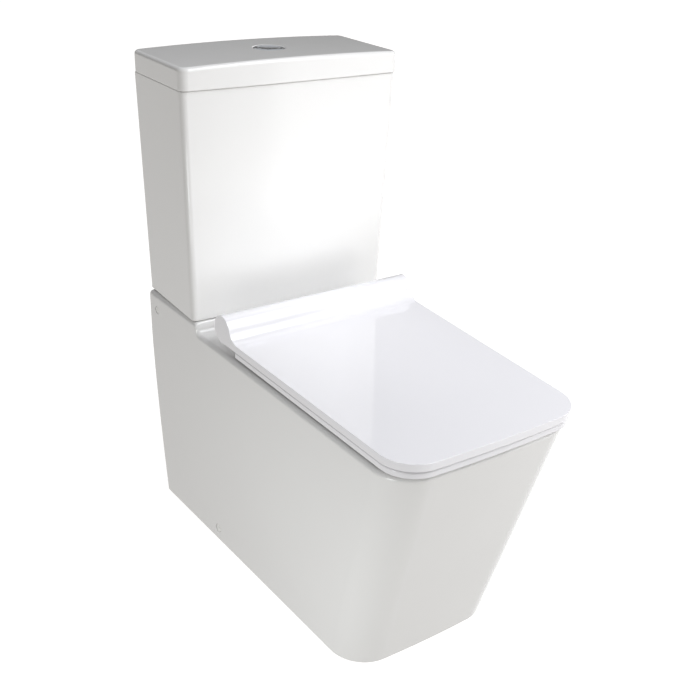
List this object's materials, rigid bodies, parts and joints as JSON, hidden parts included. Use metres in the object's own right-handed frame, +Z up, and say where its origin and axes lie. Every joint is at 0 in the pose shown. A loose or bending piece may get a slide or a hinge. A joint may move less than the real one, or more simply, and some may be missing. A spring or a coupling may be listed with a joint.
{
  "type": "close coupled toilet",
  "caption": "Square close coupled toilet: skirted ceramic pan, cistern with lift-off lid and split round flush button, soft close seat and lid.",
  "frame": {"origin": "on the floor under the middle of the bounding box", "axes": "+Z up, -Y towards the front of the seat, +Y towards the wall, X across"},
  "size_m": [0.38, 0.69, 0.8163],
  "materials": {
    "pan_glaze": "gloss white vitreous glaze",
    "cistern_glaze": "gloss white vitreous glaze",
    "seat_plastic": "high gloss moulded",
    "chrome": "bright plated",
    "steel": "satin",
    "brass": "turned",
    "rubber": "matt black",
    "white_plastic": "satin moulded",
    "grey_plastic": "satin moulded",
    "blue_plastic": "satin moulded",
    "soft_pad": "soft translucent white"
  },
  "bodies": {
    "pan_and_cistern": {"pan": "pan_glaze", "cistern_tank": "cistern_glaze", "coupling_gasket": "rubber", "side_cap_left": "white_plastic", "upper_cap_left": "white_plastic", "side_screw_left": "steel", "floor_bracket_left": "steel", "coupling_bolt_left": "brass", "bolt_seal_left": "rubber", "platform_washer_left": "steel", "wing_nut_left": "brass", "hinge_post_left": "chrome", "hinge_pin_left": "grey_plastic", "hinge_bolt_left": "steel", "hinge_plug_left": "rubber", "side_cap_right": "white_plastic", "upper_cap_right": "white_plastic", "side_screw_right": "steel", "floor_bracket_right": "steel", "coupling_bolt_right": "brass", "bolt_seal_right": "rubber", "platform_washer_right": "steel", "wing_nut_right": "brass", "hinge_post_right": "chrome", "hinge_pin_right": "grey_plastic", "hinge_bolt_right": "steel", "hinge_plug_right": "rubber", "flush_valve_washer": "rubber", "flush_valve_base": "grey_plastic", "flush_valve_nut": "grey_plastic", "flush_valve_tower": "white_plastic", "fill_valve_washer": "rubber", "fill_valve_column": "white_plastic", "fill_valve_nut": "grey_plastic", "fill_valve_head": "grey_plastic"},
    "seat": {"seat_ring": "seat_plastic", "seat_buffer_front_left": "soft_pad", "seat_buffer_front_right": "soft_pad", "seat_buffer_rear_left": "soft_pad", "seat_buffer_rear_right": "soft_pad"},
    "seat_cover": {"seat_lid": "seat_plastic", "lid_buffer_left": "soft_pad", "lid_buffer_right": "soft_pad"},
    "cistern_cover": {"cistern_lid": "cistern_glaze", "button_bezel": "chrome", "button_nut": "white_plastic"},
    "full_button": {"button_full": "chrome", "push_rod_full": "white_plastic"},
    "half_button": {"button_half": "chrome", "push_rod_half": "white_plastic"},
    "full_plunger": {"plunger_full": "grey_plastic"},
    "half_plunger": {"plunger_half": "grey_plastic"},
    "flush_core": {"overflow_tube": "blue_plastic", "flush_seal": "rubber"},
    "float": {"fill_float": "white_plastic"},
    "float_lever": {"fill_lever": "blue_plastic"}
  },
  "joints": [
    {"name": "seat_hinge", "type": "hinge", "parent": "pan_and_cistern", "child": "seat", "pos_m": [0, 0.1, 0.435], "axis": [1, 0, 0], "range_deg": [-95, 0]},
    {"name": "lid_hinge", "type": "hinge", "parent": "seat", "child": "seat_cover", "pos_m": [0, 0.1, 0.435], "axis": [-1, 0, 0], "range_deg": [0, 100]},
    {"name": "cover_lift", "type": "slide", "parent": "pan_and_cistern", "child": "cistern_cover", "axis": [0, 0, 1], "range_m": [0, 0.2]},
    {"name": "full_press", "type": "slide", "parent": "cistern_cover", "child": "full_button", "axis": [0, 0, -1], "range_m": [0, 0.006], "stiffness_N_per_m": 400, "springref_m": -0.005},
    {"name": "half_press", "type": "slide", "parent": "cistern_cover", "child": "half_button", "axis": [0, 0, -1], "range_m": [0, 0.006], "stiffness_N_per_m": 400, "springref_m": -0.005},
    {"name": "full_plunger_slide", "type": "slide", "parent": "pan_and_cistern", "child": "full_plunger", "axis": [0, 0, -1], "range_m": [0, 0.006]},
    {"name": "half_plunger_slide", "type": "slide", "parent": "pan_and_cistern", "child": "half_plunger", "axis": [0, 0, -1], "range_m": [0, 0.006]},
    {"name": "core_lift", "type": "slide", "parent": "pan_and_cistern", "child": "flush_core", "axis": [0, 0, 1], "range_m": [0, 0.014]},
    {"name": "float_rise", "type": "slide", "parent": "pan_and_cistern", "child": "float", "axis": [0, 0, 1], "range_m": [0, 0.008]},
    {"name": "lever_pivot", "type": "hinge", "parent": "pan_and_cistern", "child": "float_lever", "pos_m": [-0.125, 0.258, 0.671], "axis": [0, -1, 0], "range_deg": [0, 17.8]}
  ],
  "couplings": [
    {"joint": "full_plunger_slide", "follows": "full_press", "ratio": 1},
    {"joint": "half_plunger_slide", "follows": "half_press", "ratio": 1},
    {"joint": "core_lift", "follows": "full_press", "ratio": 2.333},
    {"joint": "lever_pivot", "follows": "float_rise", "rad_per_m": 38.46}
  ]
}
